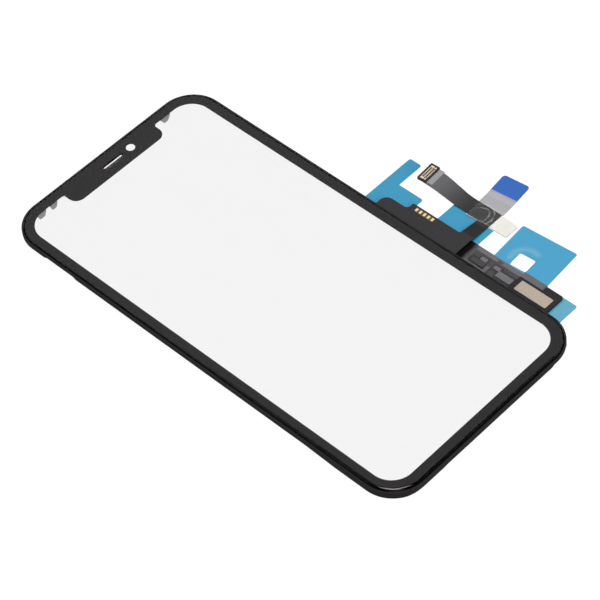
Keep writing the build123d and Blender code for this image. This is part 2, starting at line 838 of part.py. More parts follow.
def make_foam_gasket():
    """Black foam gasket, stepped beside the narrow strip of tape."""
    narrow = rectangle(gasket_x, gasket_step_y, gasket_narrow_x, gasket_top_y)
    wide = rectangle(gasket_x, gasket_low_y, gasket_far_x, gasket_step_y)
    face = round_corner(narrow + wide, gasket_narrow_x, gasket_top_y, gasket_corner_radius)
    face = round_corner(face, gasket_far_x, gasket_low_y, gasket_corner_radius)
    return plate(face, sensor_flex_top_z, gasket_top_z)


def make_gasket_plate():
    """Pale metal plate on the gasket."""
    low_x = gasket_x + gasket_plate_inner_margin
    high_x = gasket_narrow_x - gasket_plate_outer_margin
    low_y = gasket_low_y + gasket_plate_low_margin
    high_y = gasket_top_y - gasket_plate_top_margin
    outline = RectangleRounded(high_x - low_x, high_y - low_y, gasket_plate_radius)
    face = Pos((low_x + high_x) / 2, (low_y + high_y) / 2) * outline
    return plate(face, gasket_top_z, gasket_top_z + gasket_plate_thickness)


def make_main_liner():
    """Blue release liner under both flexes, with an arm, a stem, a block and a lower tab."""
    top_y = flex_top_y + liner_above_flex
    low_y = gasket_low_y - liner_below_gasket
    arm_low_y = top_y - liner_arm_width
    stem_x = flex_lower_reach + liner_stem_margin
    stem_low_y = flex_step_y - liner_cut_below_step
    block_x = tail_x + liner_block_overlap
    block_top_y = stem_low_y - liner_cut_length
    block_low_y = flex_low_y - liner_block_below_flex
    tab_x = sensor_flex_reach + liner_tab_margin
    tab_top_y = side_liner_y - side_liner_length / 2 - liner_tab_below_side_liner
    spine = rectangle(liner_frame_gap, low_y, flex_lower_reach, top_y)
    arm = rectangle(liner_frame_gap, arm_low_y, tail_far_x, top_y)
    stem = rectangle(liner_frame_gap, stem_low_y, stem_x, top_y)
    block_high = rectangle(liner_frame_gap, pad_top_y + liner_gap, block_x, block_top_y)
    block_low = rectangle(liner_frame_gap, block_low_y, tail_x - liner_gap, block_top_y)
    tab = rectangle(liner_frame_gap, low_y, tab_x, tab_top_y)
    face = spine + arm + stem + block_high + block_low + tab
    room_top_y = side_liner_y + side_liner_length / 2 + liner_gap
    face -= rectangle(side_liner_inner_x - liner_gap, tab_top_y, block_x, room_top_y)
    corners = [
        (tail_far_x, top_y),
        (tail_far_x, arm_low_y),
        (stem_x, stem_low_y),
        (block_x, block_top_y),
        (tab_x, low_y),
    ]
    for x, y in corners:
        face = round_corner(face, x, y, liner_corner_radius)
    return plate(face, table_z, liner_top_z)


def make_side_liner():
    """Blue release liner beside the sensor flex, turned a little, with an open cut-out."""
    turned = Pos(side_liner_x, side_liner_y) * Rot(0, 0, side_liner_angle)
    hole_place = turned * Pos(side_liner_hole_shift_x, side_liner_hole_shift_y)
    whole = turned * RectangleRounded(side_liner_width, side_liner_length, side_liner_radius)
    hole_size = (side_liner_hole_width, side_liner_hole_length)
    hole = hole_place * RectangleRounded(*hole_size, side_liner_radius)
    far_x = side_liner_x + side_liner_width
    low_y = side_liner_y - side_liner_length
    keep = rectangle(side_liner_inner_x, low_y, far_x, side_liner_y + side_liner_length)
    return plate((whole - hole) & keep, table_z, liner_top_z)


top_clips = {
    "top_clip_left_outer": (outer_clip_from_side - half_width, outer_clip_root, outer_clip_tip),
    "top_clip_left_inner": (inner_clip_from_side - half_width, inner_clip_root, inner_clip_tip),
    "top_clip_right": (half_width - right_clip_from_side, right_clip_root, right_clip_tip),
}
side_clips = {
    "side_clip_left_lower": (-1, left_clip_from_low_end - half_length),
    "side_clip_left_upper": (-1, half_length - left_clip_from_top_end),
    "side_clip_right_lower": (1, flex_line_y + flex_top_y + right_clip_above_flex),
    "side_clip_right_upper": (1, half_length - right_clip_from_top_end),
}
pieces = {
    "cover_glass": make_cover_glass(),
    "printed_border": make_printed_border(),
    "optical_adhesive": make_optical_adhesive(),
    "touch_sensor_film": make_touch_sensor(),
    "seat_adhesive": make_seat_adhesive(),
    "carrier_frame": make_carrier_frame(),
    "screw_lug_left": make_screw_lug(-1),
    "screw_lug_right": make_screw_lug(1),
}
for name, (centre_x, root, tip) in top_clips.items():
    pieces[name] = make_top_clip(centre_x, root, tip)
for name, (side, centre_y) in side_clips.items():
    pieces[name] = make_side_clip(side, centre_y)

flex_pieces = {
    "main_flex": make_main_flex(),
    "flex_foam_pad": make_flex_foam_pad(),
    "connector_housing": make_connector_housing(),
    "connector_stiffener": make_connector_stiffener(),
    "connector_end_left": make_connector_end(-1),
    "connector_end_right": make_connector_end(1),
    "connector_contacts_near": make_contact_row(-1),
    "connector_contacts_far": make_contact_row(1),
    "tail_ground_patch": make_ground_patch(),
    "pull_film": make_pull_film(),
    "pull_film_end": make_pull_film_end(),
    "elbow_release_pad": make_release_pad(),
    "sensor_flex": make_sensor_flex(),
    "controller_chip": component(chip_place, chip_width, chip_length),
    "long_component": component(long_component_place, long_component_width, long_component_length),
    "flex_ground_strip": make_ground_strip(),
    "cover_tape": make_cover_tape(),
    "foam_gasket": make_foam_gasket(),
    "gasket_plate": make_gasket_plate(),
    "main_liner": make_main_liner(),
    "side_liner": make_side_liner(),
}
for index in range(pad_count):
    flex_pieces[f"contact_pad_{index + 1}"] = make_contact_pad(index)
for index, place in enumerate(small_component_places):
    piece = component(place, small_component_width, small_component_length)
    flex_pieces[f"small_component_{index + 1}"] = piece
flex_place = Pos(half_width + frame_reach, flex_line_y)
for name, piece in flex_pieces.items():
    pieces[name] = flex_place * piece

os.makedirs("parts", exist_ok=True)
for name, piece in pieces.items():
    export_step(piece, f"parts/{name}.step")
    print(name, len(piece.solids()), round(piece.volume, 4))
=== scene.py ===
import math

import bpy
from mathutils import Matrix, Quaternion, Vector


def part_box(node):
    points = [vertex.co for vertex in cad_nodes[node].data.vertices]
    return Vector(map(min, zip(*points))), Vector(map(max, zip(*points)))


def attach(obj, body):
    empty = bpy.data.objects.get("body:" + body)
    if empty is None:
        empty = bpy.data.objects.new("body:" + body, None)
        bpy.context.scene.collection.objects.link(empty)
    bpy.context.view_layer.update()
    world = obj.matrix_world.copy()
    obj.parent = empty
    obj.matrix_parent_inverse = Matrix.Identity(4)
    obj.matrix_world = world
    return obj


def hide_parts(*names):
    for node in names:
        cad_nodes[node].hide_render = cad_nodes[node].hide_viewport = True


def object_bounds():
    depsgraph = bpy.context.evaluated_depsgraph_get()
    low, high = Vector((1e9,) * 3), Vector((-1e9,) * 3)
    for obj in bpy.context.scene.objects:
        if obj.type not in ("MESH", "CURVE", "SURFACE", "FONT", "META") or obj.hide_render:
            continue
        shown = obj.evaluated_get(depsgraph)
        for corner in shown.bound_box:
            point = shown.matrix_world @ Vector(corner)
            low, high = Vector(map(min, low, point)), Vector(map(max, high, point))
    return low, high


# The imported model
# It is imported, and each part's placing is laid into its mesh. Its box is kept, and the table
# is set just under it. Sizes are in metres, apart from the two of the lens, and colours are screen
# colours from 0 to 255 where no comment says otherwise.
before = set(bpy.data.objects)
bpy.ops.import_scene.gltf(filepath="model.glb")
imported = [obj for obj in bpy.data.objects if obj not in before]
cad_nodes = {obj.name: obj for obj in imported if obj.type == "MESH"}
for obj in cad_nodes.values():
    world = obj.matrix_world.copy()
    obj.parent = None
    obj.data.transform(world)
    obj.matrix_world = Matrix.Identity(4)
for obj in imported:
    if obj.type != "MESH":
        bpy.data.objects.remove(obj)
cad_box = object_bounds()
mm = 0.001


# The camera
# It looks down over the lower left corner of the glass, from about 680 mm away and 49 degrees
# above the table, and leans a little to the right. The lens and its sensor are in millimetres.
camera_place = Vector((-292.63, -340.93, 515.34)) * mm
camera_target = Vector((-3.10, -8.40, 1.05)) * mm
camera_lean = math.radians(-6.82)
focal_length = 150.83
sensor_width = 36.0

camera_data = bpy.data.cameras.new("camera")
camera_data.lens = focal_length
camera_data.sensor_width = sensor_width
camera = bpy.data.objects.new("camera", camera_data)
bpy.context.scene.collection.objects.link(camera)
camera.location = camera_place
camera.rotation_mode = "QUATERNION"
level_view = (camera_target - camera_place).to_track_quat("-Z", "Y")
camera.rotation_quaternion = level_view @ Quaternion((0, 0, 1), camera_lean)
bpy.context.scene.camera = camera
bpy.context.scene.view_settings.view_transform = "Standard"


# The cover glass
# Toughened glass with a rolled front edge, polished all over, and a slot for the earpiece whose
# ground edge is inked black. The border print and the frame are bonded to its rear face.
# The pass and the sheen are shares of the light that goes through and that is mirrored.
glass_pass = 0.98
glass_index = 1.45
glass_sheen = (0.93, 0.89, 0.905)
glass_smudge_size = 9 * mm
glass_roughness = (0.01, 0.04)
slot_edge_colour = (22, 20, 21)
slot_edge_roughness = 0.8
slot_edge_shine = 0.1
slot_low = (-3.72 * mm, 68.19 * mm, 0.0)
slot_high = (3.72 * mm, 69.21 * mm, 1.1 * mm)


def new_finish(name):
    """A new material: itself, its node tree, its main shader and the place in metres."""
    material = bpy.data.materials.new(name)
    material.use_nodes = True
    tree = material.node_tree
    place = tree.nodes.new("ShaderNodeTexCoord").outputs["Object"]
    return material, tree, tree.nodes["Principled BSDF"], place


def feed(tree, value, socket):
    """Set a socket to a number, or link another socket to it."""
    if isinstance(value, (int, float)):
        socket.default_value = value
    else:
        tree.links.new(value, socket)


def compute(tree, operation, first, second=0.0):
    """A sum in the node tree. Each side is a number or a socket."""
    node = tree.nodes.new("ShaderNodeMath")
    node.operation = operation
    feed(tree, first, node.inputs[0])
    feed(tree, second, node.inputs[1])
    return node.outputs["Value"]


def along_axes(tree, vector):
    """The X, Y and Z of a place or a direction, as three outputs."""
    node = tree.nodes.new("ShaderNodeSeparateXYZ")
    tree.links.new(vector, node.inputs["Vector"])
    return node.outputs


def within(tree, place, low, high):
    """1 between two corners in metres and 0 outside them."""
    inside = 1.0
    for output, least, most in zip(along_axes(tree, place), low, high):
        above = compute(tree, "GREATER_THAN", output, least)
        below = compute(tree, "LESS_THAN", output, most)
        inside = compute(tree, "MULTIPLY", inside, compute(tree, "MULTIPLY", above, below))
    return inside


def clouds(tree, place, size, detail=2.0, stretch=(1.0, 1.0, 1.0)):
    """Cloudy variation from 0 to 1, in patches of about one size in metres."""
    mapping = tree.nodes.new("ShaderNodeMapping")
    mapping.inputs["Scale"].default_value = [share / size for share in stretch]
    tree.links.new(place, mapping.inputs["Vector"])
    noise = tree.nodes.new("ShaderNodeTexNoise")
    noise.inputs["Scale"].default_value = 1.0
    noise.inputs["Detail"].default_value = detail
    tree.links.new(mapping.outputs["Vector"], noise.inputs["Vector"])
    return noise.outputs["Fac"]


def spread(tree, value, low, high, start=0.3, end=0.7):
    """Turn a value between two marks smoothly into one between low and high."""
    node = tree.nodes.new("ShaderNodeMapRange")
    node.interpolation_type = "SMOOTHSTEP"
    tree.links.new(value, node.inputs["Value"])
    node.inputs["From Min"].default_value = start
    node.inputs["From Max"].default_value = end
    node.inputs["To Min"].default_value = low
    node.inputs["To Max"].default_value = high
    return node.outputs["Result"]


def tone(red, green, blue):
    """A screen colour, from 0 to 255, turned into amounts of light by the usual screen curve."""
    steps = [value / 255 for value in (red, green, blue)]
    return [s / 12.92 if s <= 0.04045 else ((s + 0.055) / 1.055) ** 2.4 for s in steps]


def let_through(tree, tint):
    """Let light straight through in a tint."""
    through = tree.nodes.new("ShaderNodeBsdfTransparent")
    through.inputs["Color"].default_value = (*tint, 1)
    return through.outputs["BSDF"]


def mixed(tree, share, first, second):
    """The first shader with a share of the second."""
    mix = tree.nodes.new("ShaderNodeMixShader")
    tree.links.new(share, mix.inputs["Fac"])
    tree.links.new(first, mix.inputs[1])
    tree.links.new(second, mix.inputs[2])
    return mix.outputs["Shader"]


def see_through(tree, index, tint, roughness):
    """Let light through, and mirror a share of it on the outside only. Also gives the mirror."""
    fresnel = tree.nodes.new("ShaderNodeFresnel")
    fresnel.inputs["IOR"].default_value = index
    geometry = tree.nodes.new("ShaderNodeNewGeometry")
    outside = compute(tree, "SUBTRACT", 1.0, geometry.outputs["Backfacing"])
    mirror = tree.nodes.new("ShaderNodeBsdfGlossy")
    mirror.inputs["Color"].default_value = (1, 1, 1, 1)
    feed(tree, roughness, mirror.inputs["Roughness"])
    shine = compute(tree, "MULTIPLY", fresnel.outputs["Fac"], outside)
    return mixed(tree, shine, let_through(tree, tint), mirror.outputs["BSDF"]), mirror


def cover_with(tree, surface):
    """Make a shader the whole surface of the material."""
    tree.links.new(surface, tree.nodes["Material Output"].inputs["Surface"])


def dress(material, *names):
    """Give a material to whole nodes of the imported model."""
    for name in names:
        for slot in cad_nodes[name].material_slots:
            slot.material = material


glass, tree, shader, place = new_finish("cover_glass")
smudge = spread(tree, clouds(tree, place, glass_smudge_size), *glass_roughness)
clear, mirror = see_through(tree, glass_index, (glass_pass,) * 3, smudge)
mirror.inputs["Color"].default_value = (*glass_sheen, 1)
shader.inputs["Base Color"].default_value = (*tone(*slot_edge_colour), 1)
shader.inputs["Roughness"].default_value = slot_edge_roughness
shader.inputs["Specular IOR Level"].default_value = slot_edge_shine
inked = within(tree, place, slot_low, slot_high)
cover_with(tree, mixed(tree, inked, clear, shader.outputs["BSDF"]))
dress(glass, "cover_glass")


# The border print
# Several coats of black ink on the rear face of the glass. From the front only the polish of
# the glass shows on it, and from the rear it is dull.
ink_colour = (8, 7, 7)
ink_coat_size = 1.2 * mm
ink_coat_share = 0.8
ink_roughness = 0.7
ink_shine = 0.0


def colour_mix(tree, factor):
    """A mix of two colours, given as its two colour inputs and its colour output."""
    node = tree.nodes.new("ShaderNodeMix")
    node.data_type = "RGBA"
    tree.links.new(factor, node.inputs[0])
    return node.inputs[6], node.inputs[7], node.outputs[2]


def two_tone(tree, factor, first, second):
    """A colour that goes from the first to the second as factor goes from 0 to 1."""
    start, end, result = colour_mix(tree, factor)
    start.default_value = (*tone(*first), 1)
    end.default_value = (*tone(*second), 1)
    return result


def darker(colour, share):
    """The same screen colour with each part scaled by a share."""
    return [value * share for value in colour]


ink, tree, shader, place = new_finish("border_ink")
coats = spread(tree, clouds(tree, place, ink_coat_size), 0, 1)
coat_colour = two_tone(tree, coats, ink_colour, darker(ink_colour, ink_coat_share))
tree.links.new(coat_colour, shader.inputs["Base Color"])
shader.inputs["Roughness"].default_value = ink_roughness
shader.inputs["Specular IOR Level"].default_value = ink_shine
dress(ink, "printed_border")


# The clear adhesive and the touch sensor
# The sensor is a clear film laid on the rear of the glass with optical adhesive, which is also
# clear. Together they take a little light, so that a white table looks pale grey behind them.
adhesive_pass = 0.995
film_pass = 0.99
film_index = 1.45
film_roughness = 0.03

clear_adhesive, tree, shader, place = new_finish("clear_adhesive")
tree.nodes.remove(shader)
cover_with(tree, let_through(tree, (adhesive_pass,) * 3))
dress(clear_adhesive, "optical_adhesive")

sensor_film, tree, shader, place = new_finish("sensor_film")
tree.nodes.remove(shader)
cover_with(tree, see_through(tree, film_index, (film_pass,) * 3, film_roughness)[0])
dress(sensor_film, "touch_sensor_film")


# The seat adhesive and the carrier frame
# The frame is moulded in glass-filled black plastic with a fine spark texture, and holds the
# glass by a bead of black adhesive on its seat.
frame_colour = (44, 42, 43)
frame_patch_size = 6 * mm
frame_patch_share = 0.9
frame_grain_size = 0.12 * mm
frame_grain_depth = 0.006 * mm
frame_roughness = (0.42, 0.62)
frame_shine = 0.1
bead_colour = (14, 14, 14)
bead_ripple_size = 0.8 * mm
bead_ripple_depth = 0.02 * mm
bead_ripple_share = 0.6
bead_roughness = 0.45


def relief(tree, shader, height, depth):
    """Raise the surface by up to a depth in metres where height is 1."""
    bump = tree.nodes.new("ShaderNodeBump")
    bump.inputs["Distance"].default_value = depth
    tree.links.new(height, bump.inputs["Height"])
    tree.links.new(bump.outputs["Normal"], shader.inputs["Normal"])


frame_plastic, tree, shader, place = new_finish("frame_plastic")
patches = spread(tree, clouds(tree, place, frame_patch_size), 0, 1)
patch_colour = two_tone(tree, patches, darker(frame_colour, frame_patch_share), frame_colour)
tree.links.new(patch_colour, shader.inputs["Base Color"])
grain = clouds(tree, place, frame_grain_size, detail=4.0)
tree.links.new(spread(tree, grain, *frame_roughness), shader.inputs["Roughness"])
shader.inputs["Specular IOR Level"].default_value = frame_shine
relief(tree, shader, grain, frame_grain_depth)
dress(frame_plastic, "carrier_frame")

bead, tree, shader, place = new_finish("seat_adhesive")
ripple = clouds(tree, place, bead_ripple_size)
ripple_colour = two_tone(tree, ripple, bead_colour, darker(bead_colour, bead_ripple_share))
tree.links.new(ripple_colour, shader.inputs["Base Color"])
shader.inputs["Roughness"].default_value = bead_roughness
relief(tree, shader, ripple, bead_ripple_depth)
dress(bead, "seat_adhesive")


# The steel clips and screw lugs
# Stamped from 0.2 mm stainless sheet with a fine rolled grain, bent, and glued under the seat of
# the frame. They hold the assembly in its housing, and each lug has a threaded hole.
steel_colour = (238, 236, 237)
steel_grain_size = 0.06 * mm
steel_grain_depth = 0.004 * mm
steel_grain_stretch = (0.12, 0.12, 1.0)
steel_roughness = (0.35, 0.55)
steel_metal = 0.9


def grained(
    name, colour, size, roughness, depth, metal=0.0, share=0.85, detail=3.0, stretch=(1, 1, 1)
):
    """A finish with one grain in its colour, its polish and its relief.

    The hollows of the grain have a share of the colour, which makes them darker.
    """
    material, tree, shader, place = new_finish(name)
    grain = clouds(tree, place, size, detail, stretch)
    grain_colour = two_tone(tree, grain, darker(colour, share), colour)
    tree.links.new(grain_colour, shader.inputs["Base Color"])
    tree.links.new(spread(tree, grain, *roughness), shader.inputs["Roughness"])
    shader.inputs["Metallic"].default_value = metal
    relief(tree, shader, grain, depth)
    return material


steel = grained(
    "clip_steel",
    steel_colour,
    steel_grain_size,
    steel_roughness,
    steel_grain_depth,
    metal=steel_metal,
    stretch=steel_grain_stretch,
)
dress(steel, "top_clip_left_outer", "top_clip_left_inner", "top_clip_right")
dress(steel, "screw_lug_left", "screw_lug_right")
for side in ("left", "right"):
    dress(steel, f"side_clip_{side}_lower", f"side_clip_{side}_upper")


# The main flexible circuit
# Copper on polyimide under a black cover layer with a satin sheen. Along the tail towards the
# connector the colour is lightened to grey as a painted sheen. The copper traces stand a little
# proud through it, and a window in it lays the contact pads bare.
flex_colour = (31, 29, 32)
flex_mottle_size = 2.5 * mm
flex_mottle_share = 0.93
flex_sheen_size = 0.5 * mm
flex_roughness = (0.36, 0.5)
flex_trace_pitch = 0.42 * mm
flex_trace_depth = 0.004 * mm
tail_painted_sheen_colour = (92, 91, 94)
tail_side_x = 50.5 * mm
tail_sheen_from_y = -19.0 * mm
tail_sheen_to_y = -5.0 * mm
flex_window_colour = (96, 74, 26)
flex_window_margin = 0.22 * mm
flex_window_below_pads = 0.01 * mm
pad_count = 5


def stripes(tree, place, pitch, direction):
    """Even ridges across X or Y, from 0 to 1, with one pitch in metres.

    At a scale of 1 the wave texture goes on by 20 radians in a metre.
    """
    radians_per_metre = 20
    wave = tree.nodes.new("ShaderNodeTexWave")
    wave.bands_direction = direction
    wave.inputs["Scale"].default_value = 2 * math.pi / (radians_per_metre * pitch)
    tree.links.new(place, wave.inputs["Vector"])
    return wave.outputs["Fac"]


def recolour(tree, factor, under, colour):
    """Lay a screen colour over another colour where factor is 1."""
    start, end, result = colour_mix(tree, factor)
    tree.links.new(under, start)
    end.default_value = (*tone(*colour), 1)
    return result


pads = [f"contact_pad_{number + 1}" for number in range(pad_count)]
pad_boxes = [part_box(name) for name in pads]
window_low = [min(box[0][axis] for box in pad_boxes) - flex_window_margin for axis in range(3)]
window_high = [max(box[1][axis] for box in pad_boxes) + flex_window_margin for axis in range(3)]
window_high[2] = pad_boxes[0][1][2] - flex_window_below_pads

cover_layer, tree, shader, place = new_finish("flex_cover_layer")
mottle = spread(tree, clouds(tree, place, flex_mottle_size), 0, 1)
cover_colour = two_tone(tree, mottle, darker(flex_colour, flex_mottle_share), flex_colour)
axes = along_axes(tree, place)
# A painted sheen: the tail is lightened to grey towards the connector.
on_tail = compute(tree, "GREATER_THAN", axes["X"], tail_side_x)
tail_sheen_fade = spread(tree, axes["Y"], 0, 1, tail_sheen_from_y, tail_sheen_to_y)
painted_sheen_share = compute(tree, "MULTIPLY", on_tail, tail_sheen_fade)
cover_colour = recolour(tree, painted_sheen_share, cover_colour, tail_painted_sheen_colour)
bare = within(tree, place, window_low, window_high)
tree.links.new(recolour(tree, bare, cover_colour, flex_window_colour), shader.inputs["Base Color"])
sheen = clouds(tree, place, flex_sheen_size)
tree.links.new(spread(tree, sheen, *flex_roughness), shader.inputs["Roughness"])
relief(tree, shader, stripes(tree, place, flex_trace_pitch, "X"), flex_trace_depth)
dress(cover_layer, "main_flex")


# The foam pad and the contact pads
# The pad is die-cut from black closed-cell foam and lifts the level part of the circuit off
# the liner. The contact pads are copper with a soft gold plating.
foam_colour = (64, 62, 65)
foam_cell_size = 0.09 * mm
foam_cell_depth = 0.03 * mm
foam_cell_share = 0.4
foam_roughness = 0.95
foam_shine = 0.2
pad_colour = (255, 236, 200)
plating_size = 0.15 * mm
plating_depth = 0.003 * mm
plating_roughness = (0.3, 0.5)
plating_metal = 0.4
plating_share = 0.9

foam, tree, shader, place = new_finish("black_foam")
cells = tree.nodes.new("ShaderNodeTexVoronoi")
cells.inputs["Scale"].default_value = 1 / foam_cell_size
tree.links.new(place, cells.inputs["Vector"])
walls = cells.outputs["Distance"]
cell_colour = two_tone(tree, walls, foam_colour, darker(foam_colour, foam_cell_share))
tree.links.new(cell_colour, shader.inputs["Base Color"])
shader.inputs["Roughness"].default_value = foam_roughness
shader.inputs["Specular IOR Level"].default_value = foam_shine
relief(tree, shader, walls, foam_cell_depth)
dress(foam, "flex_foam_pad", "foam_gasket")

gold = grained(
    "pad_gold",
    pad_colour,
    plating_size,
    plating_roughness,
    plating_depth,
    metal=plating_metal,
    share=plating_share,
    detail=4.0,
)
dress(gold, *pads)


# The board connector
# A moulded housing with two rows of sprung gold contacts and a bright retainer at each end,
# soldered to the end of the tail, with a stiffener plate glued behind it. A foil patch beside it
# grounds the tail.
housing_colour = (42, 31, 26)
housing_flow_size = 0.4 * mm
housing_flow_share = 0.7
housing_roughness = (0.35, 0.5)
housing_grain_size = 0.05 * mm
housing_grain_depth = 0.003 * mm
tongue_colour = (188, 163, 136)
tongue_low = (-2.0 * mm, -0.3 * mm, -1.0 * mm)
tongue_high = (2.0 * mm, 0.3 * mm, 1.0 * mm)
connector_middle = (54.55 * mm, -3.2 * mm, 0.0)
connector_turn = math.radians(4.0)
contact_colour = (255, 242, 220)
contact_grain_size = 0.1 * mm
contact_roughness = (0.3, 0.45)
retainer_colour = (255, 246, 230)
retainer_grain_size = 0.1 * mm
retainer_roughness = (0.25, 0.4)
stiffener_colour = (150, 148, 146)
stiffener_grain_size = 0.2 * mm
stiffener_roughness = (0.4, 0.55)
plain_metal_share = 0.7
plain_metal_depth = 0.003 * mm
shield_colour = (160, 158, 161)
shield_weave_size = 0.5 * mm
shield_weave_depth = 0.01 * mm
shield_roughness = (0.35, 0.55)


def turned(tree, place, middle, angle):
    """The place measured from a middle and turned about it."""
    node = tree.nodes.new("ShaderNodeVectorRotate")
    node.rotation_type = "Z_AXIS"
    node.inputs["Center"].default_value = middle
    node.inputs["Angle"].default_value = angle
    tree.links.new(place, node.inputs["Vector"])
    shift = tree.nodes.new("ShaderNodeVectorMath")
    shift.operation = "SUBTRACT"
    tree.links.new(node.outputs["Vector"], shift.inputs[0])
    shift.inputs[1].default_value = middle
    return shift.outputs["Vector"]


def plain_metal(name, colour, size, roughness):
    """A plated or rolled metal with a fine grain."""
    return grained(name, colour, size, roughness, plain_metal_depth, metal=plain_metal_share)


housing, tree, shader, place = new_finish("connector_housing")
flow = clouds(tree, place, housing_flow_size)
body_colour = two_tone(tree, flow, housing_colour, darker(housing_colour, housing_flow_share))
turned_place = turned(tree, place, connector_middle, -connector_turn)
on_tongue = within(tree, turned_place, tongue_low, tongue_high)
tree.links.new(recolour(tree, on_tongue, body_colour, tongue_colour), shader.inputs["Base Color"])
tree.links.new(spread(tree, flow, *housing_roughness), shader.inputs["Roughness"])
relief(tree, shader, clouds(tree, place, housing_grain_size), housing_grain_depth)
dress(housing, "connector_housing")

contact_gold = plain_metal(
    "contact_gold", contact_colour, contact_grain_size, contact_roughness
)
dress(contact_gold, "connector_contacts_near", "connector_contacts_far")
retainer_metal = plain_metal(
    "retainer_metal", retainer_colour, retainer_grain_size, retainer_roughness
)
dress(retainer_metal, "connector_end_left", "connector_end_right")
stiffener_steel = plain_metal(
    "stiffener_steel", stiffener_colour, stiffener_grain_size, stiffener_roughness
)
dress(stiffener_steel, "connector_stiffener")
shield = grained(
    "tail_shield", shield_colour, shield_weave_size, shield_roughness, shield_weave_depth
)
dress(shield, "tail_ground_patch")


# The pull film and its coloured end
# A grey see-through protective film over the elbow of the circuit, with a free end to pull it
# off by. It is creased in rings where it was pressed over the elbow, and the glints on the creases
# are painted as a pale haze, mostly on the lower right, with a painted highlight along its end over
# the elbow. The end is printed blue with a soft edge. The tint, the haze and the painted glints are
# shares of light.
pull_film_tint = (0.655, 0.65, 0.665)
pull_film_index = 1.5
pull_film_roughness = 0.12
pull_film_haze = 0.016
pull_film_middle = (54.35 * mm, -24.4 * mm, 0.0)
pull_film_turn = math.radians(6.3)
film_ripple_size = 2.0 * mm
film_ripple_share = 0.4
painted_edge_highlight = 0.16
film_edge_width = 0.35 * mm
film_edge_x = -2.55 * mm
haze_and_glint_tint = (0.85, 0.85, 0.88)
haze_and_glint_roughness = 0.5
painted_crease_glint = 0.2
crease_middle = (53.4 * mm, -23.1 * mm, -2.1 * mm)
crease_first = 2.1 * mm
crease_last = 4.6 * mm
crease_pitch = 1.4 * mm
crease_depth = 0.05 * mm
crease_marks = (-0.2, 0.95)
crease_wander = 1.0 * mm
crease_wander_size = 2.6 * mm
crease_patch_size = 1.5 * mm
crease_patch_share = 0.35
crease_patch_marks = (0.4, 0.6)
crease_upper_share = 0.25
crease_lower_marks = (-4.0 * mm, 1.0 * mm)
pull_end_colour = (38, 99, 188)
pull_strip_colour = (178, 177, 182)
pull_print_start = 8.55 * mm
pull_print_fade = 0.8 * mm
pull_print_size = 1.0 * mm
pull_print_share = 0.94
pull_print_depth = 0.01 * mm
pull_print_roughness = (0.35, 0.5)


def distance(tree, place, middle):
    """How far the place is from a point, in metres."""
    node = tree.nodes.new("ShaderNodeVectorMath")
    node.operation = "DISTANCE"
    tree.links.new(place, node.inputs[0])
    node.inputs[1].default_value = middle
    return node.outputs["Value"]


pull_film, tree, shader, place = new_finish("pull_film")
clear, mirror = see_through(tree, pull_film_index, pull_film_tint, pull_film_roughness)
wander = compute(tree, "MULTIPLY", clouds(tree, place, crease_wander_size), crease_wander)
reach = compute(tree, "ADD", distance(tree, place, crease_middle), wander)
rings = compute(tree, "SINE", compute(tree, "MULTIPLY", reach, 2 * math.pi / crease_pitch))
rise = spread(tree, reach, 0, 1, crease_first, crease_first + crease_pitch / 2)
fall = spread(tree, reach, 1, 0, crease_last, crease_last + crease_pitch)
creased = compute(tree, "MULTIPLY", rise, fall)
ridges = compute(tree, "MULTIPLY", spread(tree, rings, 0, 1, *crease_marks), creased)
axes = along_axes(tree, turned(tree, place, pull_film_middle, -pull_film_turn))
sideways = compute(tree, "SUBTRACT", axes["X"], axes["Y"])
lower_right = spread(tree, sideways, crease_upper_share, 1, *crease_lower_marks)
patches = clouds(tree, place, crease_patch_size)
patchy = spread(tree, patches, crease_patch_share, 1, *crease_patch_marks)
ridges = compute(tree, "MULTIPLY", compute(tree, "MULTIPLY", ridges, patchy), lower_right)
ripples = clouds(tree, place, film_ripple_size, detail=3.0)
height = compute(tree, "ADD", ridges, compute(tree, "MULTIPLY", ripples, film_ripple_share))
relief(tree, mirror, height, crease_depth)
shader.inputs["Base Color"].default_value = (*haze_and_glint_tint, 1)
shader.inputs["Roughness"].default_value = haze_and_glint_roughness
shader.inputs["Specular IOR Level"].default_value = 0.0
# Painted highlights: a pale haze along the film's end over the elbow, and on the crease rings where
# they would glint.
at_edge = spread(tree, axes["X"], 1, 0, film_edge_x - film_edge_width, film_edge_x)
haze_and_painted_glints = compute(tree, "ADD", compute(tree, "MULTIPLY", ridges, painted_crease_glint), pull_film_haze)
haze_and_painted_glints = compute(tree, "ADD", haze_and_painted_glints, compute(tree, "MULTIPLY", at_edge, painted_edge_highlight))
cover_with(tree, mixed(tree, haze_and_painted_glints, clear, shader.outputs["BSDF"]))
dress(pull_film, "pull_film")

pull_end, tree, shader, place = new_finish("pull_film_blue")
print_coat = clouds(tree, place, pull_print_size, detail=3.0)
thick_colour = darker(pull_end_colour, pull_print_share)
print_colour = two_tone(tree, print_coat, thick_colour, pull_end_colour)
axes = along_axes(tree, turned(tree, place, pull_film_middle, -pull_film_turn))
unprinted = spread(tree, axes["X"], 1, 0, pull_print_start, pull_print_start + pull_print_fade)
end_colour = recolour(tree, unprinted, print_colour, pull_strip_colour)
tree.links.new(end_colour, shader.inputs["Base Color"])
tree.links.new(spread(tree, print_coat, *pull_print_roughness), shader.inputs["Roughness"])
relief(tree, shader, print_coat, pull_print_depth)
dress(pull_end, "pull_film_end")


# The release pad under the elbow
# Cream silicone-coated paper that keeps the adhesive under the elbow clean. It is a little
# blotchy, and its cut edge is painted a darker brown as shade.
paper_colour = (240, 237, 231)
paper_blotch_size = 1.4 * mm
paper_blotch_share = 0.93
paper_fibre_size = 0.15 * mm
paper_fibre_depth = 0.01 * mm
paper_roughness = (0.4, 0.6)
paper_edge_painted_shade_colour = (128, 116, 100)
paper_edge_level = 0.5

